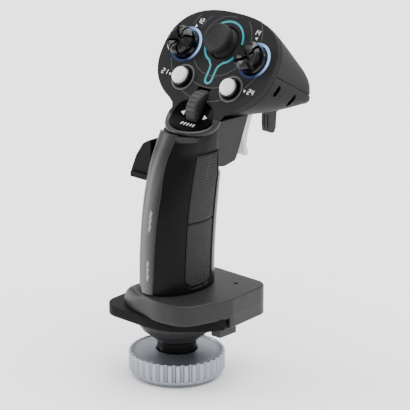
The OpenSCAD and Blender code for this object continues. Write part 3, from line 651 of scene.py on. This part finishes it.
def turn_x(verts, degrees, about):
    a = math.radians(degrees)
    rot = np.array([[1, 0, 0], [0, math.cos(a), -math.sin(a)], [0, math.sin(a), math.cos(a)]])
    return (verts - about) @ rot.T + about


def head_slots():
    """Rounded vents through the side walls."""
    tools = []
    radius, widen = 1.3, 1.55
    turn = np.linspace(0.05, 2 * math.pi - 0.05, 24)
    for side in (-1, 1):
        for x, y, z, half, tilt in ((33.5, 38.5, 150.3, 1.9, -48), (27.5, 59.2, 139.3, 2.3, -54)):
            at = np.array([side * x, y, z])
            ring = np.stack([np.zeros(24), widen * radius * np.cos(turn),
                             radius * np.sin(turn) + half * np.sign(np.sin(turn))], -1)
            ring = turn_x(at + ring, tilt, at)
            tools.append(loft([ring - (7, 0, 0), ring + (7, 0, 0)]))
    return tools


lower_head = head_half(-1, "lower_head_shell", "head_lower_shell")
cut(lower_head, [box_mesh((-5.6, 63.6, 122), (5.6, 73.2, 134))] + head_slots())
mark_sharp(lower_head, 35)


# ---------------------------------------------------------------- hand rest
def rounded(points, n=10):
    """Outline with rounded corners; each corner is (x, y, radius)."""
    out = []
    m = len(points)
    for i in range(m):
        p, c, q = points[i - 1], points[i], points[(i + 1) % m]
        if c[2] <= 0:
            out.append((c[0], c[1]))
            continue
        corner = np.array(c[:2], float)
        a, b = np.array(p[:2]) - corner, np.array(q[:2]) - corner
        a, b = a / np.linalg.norm(a), b / np.linalg.norm(b)
        half = math.acos(max(-1, min(1, float(a @ b)))) / 2
        reach = c[2] / math.tan(half)
        s, e = corner + a * reach, corner + b * reach
        for k in range(n + 1):
            t = k / n
            out.append(tuple(s * (1 - t) ** 2 + corner * 2 * t * (1 - t) + e * t * t))
    return np.array(out)


def inset(points, d):
    """Moves a closed outline inwards along its own normals."""
    ahead, behind = np.roll(points, -1, 0), np.roll(points, 1, 0)
    tangent = ahead - behind
    tangent /= np.linalg.norm(tangent, axis=1, keepdims=True)
    normal = np.stack([-tangent[:, 1], tangent[:, 0]], -1)
    area = np.sum(points[:, 0] * ahead[:, 1] - ahead[:, 0] * points[:, 1])
    return points + normal * d * (1 if area > 0 else -1)


def at_z(points, z):
    z = np.broadcast_to(z, len(points))
    return np.column_stack([points, z])


def body_outline(grow, n=14):
    return rounded([(-16 - grow, -16, 6), (-6 - 0.8 * grow, -22.5, 40), (11, -26.8, 31), (27.5, -24.2, 13),
                    (33.4, -6, 90), (35.6, 4, 12), (33.6, 33.8, 8), (-4, 33.8, 6), (-16 - grow, 18, 8)], n)


PLATE_FOOT, REST_SEAM, REST_SHOULDER, REST_TOP = 32.5, 37.9, 47.5, 48.6
RAMP = 7.5


def rest_rings():
    """Rings from the seam up: the left end swells out as a quarter ellipse down to the plate."""
    rings = []
    for k in range(17):
        f = k / 16
        swell = RAMP * math.sqrt(1 - f * f)
        rings.append(at_z(inset(body_outline(swell), 0.15 + 0.35 * max(0, 1 - 8 * f)),
                          REST_SEAM + (REST_SHOULDER - REST_SEAM) * f))
    for k in range(1, 7):
        a = k / 6 * math.pi / 2
        rings.append(at_z(inset(body_outline(0), 0.15 + 1.1 * (1 - math.cos(a))),
                          REST_SHOULDER + (REST_TOP - REST_SHOULDER) * math.sin(a)))
    return rings


def disc_outline(radius, x=0.0, y=0.0, steps=40):
    t = np.arange(steps) * 2 * math.pi / steps
    return np.stack([x + radius * np.cos(t), y + radius * np.sin(t)], -1)


def hand_rest():
    verts, faces = loft(rest_rings())
    body = stand_in("rest_body", verts, faces, "hand_rest_body")
    bore, pit = disc_outline(9.9), disc_outline(1.1, 21.6, 21.6)
    cut(body, [loft([at_z(bore, 36), at_z(bore, 50)]), loft([at_z(pit, 47.2), at_z(pit, 50)])])
    mark_sharp(body, 32)

    # side wall that carries the body down past the plate on the right
    edge = body_outline(0)
    keep = (edge[:, 0] > 20) & (edge[:, 1] > 1.4)
    profile = [(0.5, 32.7), (0.15, 33.1), (0.2, 39.05), (1.7, 39.05), (1.7, 32.7)]
    rows = np.array([at_z(inset(edge, d)[keep], z) for d, z in profile]).transpose(1, 0, 2)
    verts, faces = loft(list(rows))
    extra("rest_side_wall", verts, faces, "grip", "rest_grey", smooth_angle=32)

    outline = rounded([(-23.5, -25.9, 9), (2, -26.2, 24), (16, -24, 24), (31.8, -8.4, 20),
                       (35.4, -1.2, 1.2), (33.3, 0.6, 1), (31.5, 31.6, 8), (-4, 31.6, 4),
                       (-28.5, 18, 9), (-31.4, -4, 16),
                       (-30.5, -19, 10)], 12)
    rings = []
    for k in range(7):
        a = math.pi / 2 * (1 - k / 6)
        rings.append(at_z(inset(outline, 0.9 * (1 - math.cos(a))), PLATE_FOOT + 0.9 * (1 - math.sin(a))))
    for k in range(1, 6):
        a = math.pi / 2 * k / 5
        rings.append(at_z(inset(outline, 0.7 * (1 - math.cos(a))), 37.1 + 0.7 * math.sin(a)))
    verts, faces = loft(rings)
    plate = stand_in("rest_plate", verts, faces, "hand_rest_plate")
    cut(plate, [loft([at_z(bore, 30), at_z(bore, 50)]), box_mesh((25.8, -2.4, 31.5), (30.2, 13.4, 35.9))])
    mark_sharp(plate, 32)


hand_rest()


# ---------------------------------------------------------------- coupling nut
def nut():
    """Fluted ring with a dished top, a plain foot band and a helical thread inside."""
    count, per = 36, 20
    theta = np.arange(count * per) * 2 * math.pi / (count * per)
    phi = (theta * count / (2 * math.pi) + 0.5) % 1 - 0.5
    phi = phi * 2 * math.pi / count
    centre, groove = 24.75, 0.98
    inside = groove ** 2 - (centre * np.sin(phi)) ** 2
    flute = np.where(inside > 0, centre * np.cos(phi) - np.sqrt(np.maximum(inside, 0)), 25.0)
    flute = np.minimum(flute, 25.0)
    for _ in range(2):
        flute = 0.25 * np.roll(flute, 1) + 0.5 * flute + 0.25 * np.roll(flute, -1)

    def ring(r, z):
        r, z = np.broadcast_to(r, theta.shape), np.broadcast_to(z, theta.shape)
        return np.stack([r * np.cos(theta), r * np.sin(theta), z], -1)

    rings = [ring(18.0, 0.0), ring(21.2, 0.0), ring(22.0, 0.12), ring(24.1, 2.35), ring(24.4, 2.7),
             ring(24.4, 3.25), ring(np.minimum(24.5, flute + 0.4), 3.42),
             ring(np.minimum(24.9, flute), 3.7)]
    rings += [ring(flute, z) for z in np.linspace(4.0, 12.3, 8)]
    rings += [ring(np.minimum(flute, 24.9) - 0.02, 12.6), ring(np.minimum(flute, 24.6), 12.85),
              ring(np.minimum(flute, 24.2), 13.0), ring(23.5, 13.0), ring(23.2, 12.75), ring(23.05, 12.35),
              ring(22.7, 12.22), ring(20, 12.55), ring(16, 13.1), ring(13, 13.6), ring(11.6, 13.85),
              ring(11.1, 13.85), ring(10.65, 13.5), ring(10.6, 13.0), ring(10.6, 10.6), ring(10.7, 10.5),
              ring(17.6, 10.5), ring(17.72, 10.4), ring(17.9, 7.6)]
    steps = 52
    pitch = 2.0
    for k in range(steps + 1):
        z = 7.4 * (1 - k / steps)
        wave = np.abs((((z - pitch * theta / (2 * math.pi)) / pitch) % 1) * 2 - 1)
        fade = min(1, k / 4, (steps - k) / 4)
        rings.append(ring(18.0 - 1.06 * np.clip(wave * 1.25 - 0.12, 0, 1) * fade, z * 0.995 + 0.02))
    verts = np.concatenate(rings)
    n = len(theta)
    faces = grid_faces(len(rings), n, wrap=True)
    last = (len(rings) - 1) * n
    faces += [(last + i, last + (i + 1) % n, (i + 1) % n, i) for i in range(n)]
    return stand_in("fluted_nut", verts, faces, "coupling_nut", smooth_angle=30)


nut()


# ---------------------------------------------------------------- turned pieces on the face
def lathe_on_face(profile, u, v, steps=72):
    """Profile (r, n) turned about the face normal at (u, v)."""
    dense = [profile[0]]
    for (r0, n0), (r1, n1) in zip(profile, profile[1:]):
        cuts = max(1, int(math.ceil(math.hypot(r1 - r0, n1 - n0) / 0.9)))
        dense += [(r0 + (r1 - r0) * k / cuts, n0 + (n1 - n0) * k / cuts) for k in range(1, cuts + 1)]
    profile = dense
    t = np.arange(steps) * 2 * math.pi / steps
    rings = [face_points(np.stack([u + r * np.cos(t), v + r * np.sin(t), np.full(steps, n)], -1))
             for r, n in profile]
    return loft(rings)


def fine_profile(points, n=5):
    """Rounds the inner corners of a (r, n) profile with radius given as third value."""
    out = [points[0][:2]]
    for p, c, q in zip(points, points[1:], points[2:]):
        if len(c) < 3:
            out.append(c[:2])
            continue
        c2 = np.array(c[:2], float)
        a, b = np.array(p[:2]) - c2, np.array(q[:2]) - c2
        ra = min(c[2], 0.48 * np.linalg.norm(a)) / np.linalg.norm(a)
        rb = min(c[2], 0.48 * np.linalg.norm(b)) / np.linalg.norm(b)
        s, e = c2 + a * ra, c2 + b * rb
        out += [tuple(s * (1 - t) ** 2 + c2 * 2 * t * (1 - t) + e * t * t) for t in np.linspace(0, 1, n)]
    out.append(points[-1][:2])
    return out


def push_buttons():
    """White domed caps on dark skirts."""
    cap = fine_profile([(0.01, 2.4), (4.5, 2.4, 0.2), (4.5, 3.9, 0.45), (4.0, 4.4, 0.4),
                        (2.0, 4.56), (0.01, 4.6)])
    skirt = fine_profile([(0.01, -4), (5.2, -4, 0.3), (5.2, 2.3, 0.6), (4.2, 2.7, 0.3), (0.01, 2.7)])
    stem = [(0.01, -9.6), (1.3, -9.6), (1.3, -4.0), (0.01, -4.0)]
    for side, name in ((-1, "left"), (1, "right")):
        v, f = lathe_on_face(cap, side * BTN_U, BTN_V)
        stand_in(name + "_button_cap", v, f, "button_" + name, smooth_angle=35)
        v, f = join_parts([lathe_on_face(skirt, side * BTN_U, BTN_V),
                           lathe_on_face(stem, side * BTN_U, BTN_V, 32)])
        extra(name + "_button_skirt", v, f, name + "_button", "hat_gloss")


push_buttons()


def thumb_stick():
    cap = fine_profile([(0.01, 3.5), (5.2, 3.3, 0.3), (7.0, 3.0, 0.4), (8.15, 3.6, 0.5), (8.2, 6.4, 0.9),
                        (7.6, 7.75, 0.8), (6.6, 7.85, 0.5), (5.4, 7.35, 0.8), (0.01, 6.7)], 7)
    ang = np.radians(np.arange(0, 49, 4))
    skirt = [(8.6 * math.cos(a), PIVOT_N + 8.6 * math.sin(a)) for a in ang]
    skirt += [(7.5 * math.cos(a), PIVOT_N + 7.5 * math.sin(a)) for a in ang[::-1]]
    v1, f1 = lathe_on_face(cap, 0, STICK_V, 96)
    v2, f2 = lathe_ring(skirt, 0, STICK_V, 96)
    v, f = join_parts([(v1, f1), (v2, f2)])
    stand_in("thumb_stick_cap", v, f, "stick_cap", smooth_angle=50)


def lathe_ring(profile, u, v, steps=72):
    """Closed profile turned about the face normal: no caps."""
    verts, _ = lathe_on_face(profile, u, v, steps)
    faces = grid_faces(len(verts) // steps, steps, wrap=True)
    last = len(verts) - steps
    faces += [(last + i, last + (i + 1) % steps, (i + 1) % steps, i) for i in range(steps)]
    return verts, faces


thumb_stick()


# ---------------------------------------------------------------- wheel panel and lip
def panel_lift(v):
    return np.where(v > -34, 0, 0.042 * (-34 - v) ** 2)


def panel_half_width(v):
    return 13.2 * np.clip(1 - (np.abs(v + 35.6) / 9) ** 2.4, 0, 1) ** (1 / 2.4)


def wheel_panel():
    vs = -35.6 + 8.93 * np.cos(np.linspace(math.pi, 0, 40))
    fs = np.sin(np.linspace(-math.pi / 2, math.pi / 2, 33))
    V, F = np.meshgrid(vs, fs, indexing="ij")
    U = np.maximum(panel_half_width(V), 0.8) * F
    top = face_points(np.stack([U, V, panel_lift(V) - 0.9 + 0.8 * F ** 2], -1))
    low = face_points(np.stack([U, V, panel_lift(V) - 1.75], -1))
    v, f = thick_sheet(top, low)
    panel = stand_in("wheel_bezel", v, f, "wheel_panel", smooth_angle=50)
    slot_box = box_mesh((-4.2, -38, -5), (4.2, -25.6, 7))
    cut(panel, [(face_points(slot_box[0]), slot_box[1])])
    mark_sharp(panel, 40)


wheel_panel()


def face_lip():
    a = np.radians(np.linspace(12, -102.2 + 12.2 - 0.01, 40))
    right = np.stack([15.4 * np.cos(a), -36.4 + 10.4 * np.sin(a)], -1)
    left = right[::-1][1:] * (-1, 1)
    path = np.concatenate([right, left])
    tangent = np.gradient(path, axis=0)
    tangent /= np.linalg.norm(tangent, axis=1, keepdims=True)
    rings = []
    q = np.arange(16) * 2 * math.pi / 16
    for p, t in zip(path, tangent):
        n0 = float(panel_lift(p[1] + 0.6)) - 1.6
        out = np.array([t[1], -t[0]])
        uv = p + out * 1.72 * np.cos(q)[:, None]
        rings.append(face_points(np.column_stack([uv, n0 + 1.97 * np.sin(q)])))
    v, f = loft(rings)
    stand_in("lower_lip", v, f, "face_lip", smooth_angle=60)


face_lip()


# ---------------------------------------------------------------- printed marks
def ribbon(path, width, n0=-0.02, n1=0.05, closed=False):
    """Thin raised strip that follows a path of (u, v) points on the face."""
    path = np.asarray(path, float)
    if closed:
        tangent = np.roll(path, -1, 0) - np.roll(path, 1, 0)
    else:
        tangent = np.gradient(path, axis=0)
    tangent /= np.linalg.norm(tangent, axis=1, keepdims=True)
    side = np.stack([-tangent[:, 1], tangent[:, 0]], -1) * width / 2
    rings = []
    for p, s in zip(path, side):
        rings.append([(*(p - s), n0), (*(p + s), n0), (*(p + s), n1), (*(p - s), n1)])
    rings = face_points(np.array(rings))
    verts = rings.reshape(-1, 3)
    count = len(rings)
    faces = grid_faces(count, 4, wrap=True)
    last = (count - 1) * 4
    if closed:
        faces += [(last + i, last + (i + 1) % 4, (i + 1) % 4, i) for i in range(4)]
    else:
        faces += [(3, 2, 1, 0), (last, last + 1, last + 2, last + 3)]
    return verts, faces


def arc(radius, a0, a1, cu=-0.4, cv=STICK_V):
    a = np.radians(np.linspace(a0, a1, max(6, int(abs(a1 - a0) / 2))))
    return np.stack([cu + radius * np.cos(a), cv + radius * np.sin(a)], -1)


def plate_solid(points, n0=-0.02, n1=0.06):
    points = np.asarray(points, float)
    low = face_points(np.column_stack([points, np.full(len(points), n0)]))
    high = face_points(np.column_stack([points, np.full(len(points), n1)]))
    return loft([low, high])


# Strokes of each digit in use, and where each stroke runs in a unit box.
SEGMENTS = {"1": "bc", "2": "abged", "4": "fgbc"}
STROKES = {"a": ((0, 1), (1, 1)), "b": ((1, 1), (1, 0.5)), "c": ((1, 0.5), (1, 0)), "d": ((1, 0), (0, 0)),
           "e": ((0, 0), (0, 0.5)), "f": ((0, 0.5), (0, 1)), "g": ((0, 0.5), (1, 0.5))}


def number(text, u, v, height=2.5, width=1.3, gap=0.95, slant=0.12):
    parts = []
    for i, digit in enumerate(text):
        for key in SEGMENTS[digit]:
            (x0, y0), (x1, y1) = STROKES[key]
            pts = []
            for x, y in ((x0, y0), ((x0 + x1) / 2, (y0 + y1) / 2), (x1, y1)):
                px = u + i * (width + gap) + x * width + y * height * slant
                pts.append((px, v + y * height))
            parts.append(ribbon(pts, 0.42))
    return parts


def triangle(u, v, size, angle):
    a = np.radians(angle + np.array([0, 120, 240]))
    return plate_solid(np.stack([u + size * np.cos(a), v + size * np.sin(a)], -1))


def face_prints():
    fine = 0.24
    parts = [ribbon(arc(18.5, 222, 324), fine), ribbon(arc(25.0, 248, 292), fine),
             ribbon(arc(32.4, 243, 261), fine), ribbon(arc(32.4, 280, 296.5), fine),
             ribbon(arc(32.4, 319.5, 336), fine), ribbon(arc(32.4, 206, 220), fine),
             ribbon(arc(18.7, 138, 164), fine), ribbon(arc(24.6, 152, 166), fine),
             ribbon(arc(17.4, 16, 53), fine), ribbon(arc(23.9, 13.5, 41), fine),
             ribbon(arc(14.6, 80, 176), 0.18)]
    v, f = join_parts(parts)
    extra("face_arcs", v, f, "grip", "ring_grey")
    parts = number("12", -22.3, 13.3) + number("14", 16.2, 14.0)
    parts += number("21", -31.8, -17.2) + number("24", 27.6, -17.0)
    parts += [triangle(-22.0, 11.3, 1.0, 230), triangle(19.3, 12.1, 1.0, 300),
              triangle(-25.7, -16.6, 1.0, 270), triangle(25.5, -15.9, 1.0, 270)]
    v, f = join_parts(parts)
    extra("face_numbers", v, f, "grip", "button_white")


face_prints()


def face_outline(grow):
    a = np.radians(90 - np.arange(0, 151, 2.5))
    n = np.where(a > 0, 2.5, 2.2)
    u = (38 + grow) * spow(np.cos(a), n)
    v = -4 + np.where(a > 0, 26.9 + grow, 28 + grow) * spow(np.sin(a), n)
    keep = (v > -29.6) | (u > 18)
    right = np.column_stack([u[keep], v[keep]])
    return np.concatenate([right, right[::-1][:-1] * (-1, 1)])


def face_seam_shade():
    """Dark sheet in the joint between the face plate and the shells, as painted shade in the gap."""
    outer, inner = face_outline(-0.12), face_outline(-1.2)
    n0, n1 = -3.35, -2.75
    rings = [np.column_stack([edge, np.full(len(edge), n)])
             for edge, n in ((outer, n0), (outer, n1), (inner, n1), (inner, n0))]
    grid = face_points(np.array(rings).transpose(1, 0, 2))
    verts = grid.reshape(-1, 3)
    last = (len(outer) - 1) * 4
    faces = grid_faces(len(outer), 4, wrap=True) + [(3, 2, 1, 0), (last, last + 1, last + 2, last + 3)]
    extra("face_seam_shade", verts, faces, "grip", "inner_black")


face_seam_shade()


def panel_prints():
    """Small triangles each side of the wheel and five slanted bars below it, on the dished panel."""
    def on_panel(points, thick=0.06):
        points = np.asarray(points, float)
        base = panel_lift(points[:, 1]) - 0.9 + 0.8 * (points[:, 0] / panel_half_width(points[:, 1])) ** 2
        low = face_points(np.column_stack([points, base - 0.05]))
        high = face_points(np.column_stack([points, base + thick]))
        return loft([low, high])

    parts = []
    for side in (-1, 1):
        cu, cv = side * 7.5, -34.4
        parts.append(on_panel([(cu + side * 1.5, cv + 0.1), (cu - side * 0.9, cv + 1.35),
                               (cu - side * 0.9, cv - 1.2)]))
    for k in range(5):
        cu = -4.4 + k * 2.0
        parts.append(on_panel([(cu - 0.35, -40.9), (cu + 0.35, -40.9), (cu + 0.65, -39.3),
                               (cu - 0.05, -39.3)]))
    v, f = join_parts(parts)
    extra("wheel_marks", v, f, "grip", "button_white")


panel_prints()
strip_marks()


# ---------------------------------------------------------------- trigger and hard-edged pieces
def across(profile, width, name, node, edge):
    left = np.column_stack([np.full(len(profile), -width / 2), profile])
    right = left + (width, 0, 0)
    v, f = loft([left, right])
    obj = stand_in(name, v, f, node, smooth_angle=30)
    bevel(obj, edge, 4, 50)
    return obj


def moving_blades():
    blade = rounded([(38.4, 131.6, 2.4), (50.9, 130.8, 1.5), (47.4, 122, 12), (45.9, 114.5, 6),
                     (48.2, 108.6, 1.6), (43.6, 109, 2), (42.6, 118, 9), (38, 126, 2)], 12)
    across(blade, 13.6, "pull_trigger", "trigger_blade", 1.1)
    housing = rounded([(15.5, 111.4, 0), (20.9, 110.3, 1), (29, 111.7, 2.2), (31, 115.2, 2.5),
                       (35, 125, 6), (39.2, 134.6, 1), (15.5, 135.2, 0)], 6)
    guard = across(housing, 28.8, "trigger_guard", "trigger_housing", 0.9)
    # painted light: the guard gets a lighter grey than the head shells so that it looks lit
    guard.data.materials[0] = surface("guard_lit_look", (0.020, 0.020, 0.021), 0.42, specular=0.15, wear=0.05)


moving_blades()

for node_name, width in (("face_plate", 0.35), ("rest_latch", 0.5),
                         ("thumb_rest", 0.9), ("left_hat_cap", 0.35), ("right_hat_cap", 0.5),
                         ("lever_blade", 0.45), ("wheel_tyre", 0.25), ("base_dome", 0.3),
                         ("neck_collar", 0.2), ("lever_bracket", 0.3)):
    bevel(NODES[node_name], width, 3, 32, dissolve=True)


# ---------------------------------------------------------------- light, floor, camera
def area_light(name, where, target, size, power, colour=(1, 1, 1)):
    data = bpy.data.lights.new(name, "AREA")
    data.shape = "RECTANGLE"
    data.size, data.size_y = size
    data.energy = power
    data.color = colour
    obj = bpy.data.objects.new(name, data)
    obj.location = where
    obj.rotation_mode = "QUATERNION"
    obj.rotation_quaternion = (Vector(target) - Vector(where)).to_track_quat("-Z", "Y")
    bpy.context.scene.collection.objects.link(obj)
    return obj


def studio():
    mesh = bpy.data.meshes.new("floor")
    r = 6.0
    mesh.from_pydata([(-r, -r, 0), (r, -r, 0), (r, r, 0), (-r, r, 0)], [], [(0, 1, 2, 3)])
    floor = bpy.data.objects.new("floor", mesh)
    bpy.context.scene.collection.objects.link(floor)
    mat, nt, bsdf = new_material("floor_look")
    fac = map_range(nt, add_noise(nt, 3, 2), 0, 1)
    nt.links.new(mix_colours(nt, fac, (0.90, 0.90, 0.90), (0.92, 0.92, 0.92)), bsdf.inputs["Base Color"])
    bsdf.inputs["Roughness"].default_value = 0.9
    floor.data.materials.append(mat)
    world = bpy.data.worlds.new("studio")
    world.use_nodes = True
    bg = world.node_tree.nodes["Background"]
    bg.inputs[0].default_value = (1, 1, 1, 1)
    bg.inputs[1].default_value = 1.0
    bpy.context.scene.world = world
    target = (0, 0.02, 0.1)
    area_light("ceiling", (0, 0.8, 2.2), (0, 0.8, 0), (3.2, 3.2), 165)
    area_light("key_left", (-0.95, -0.55, 0.30), target, (0.22, 0.9), 8)
    area_light("fill_right", (1.3, 0.1, 0.5), target, (0.4, 0.9), 1.5)


def camera():
    az, el = math.radians(43.0), math.radians(18.5)
    back = Vector((math.sin(az) * math.cos(el), -math.cos(az) * math.cos(el), math.sin(el)))
    target = Vector((14.6 * math.cos(az), 14.6 * math.sin(az), 91.5)) * MM
    data = bpy.data.cameras.new("camera")
    data.sensor_width = 36
    data.lens = 2745 / 410 * 36
    data.clip_start, data.clip_end = 0.05, 20
    cam = bpy.data.objects.new("camera", data)
    cam.location = target + back * 1.4
    cam.rotation_mode = "QUATERNION"
    cam.rotation_quaternion = (-back).to_track_quat("-Z", "Y")
    bpy.context.scene.collection.objects.link(cam)
    bpy.context.scene.camera = cam


studio()
camera()
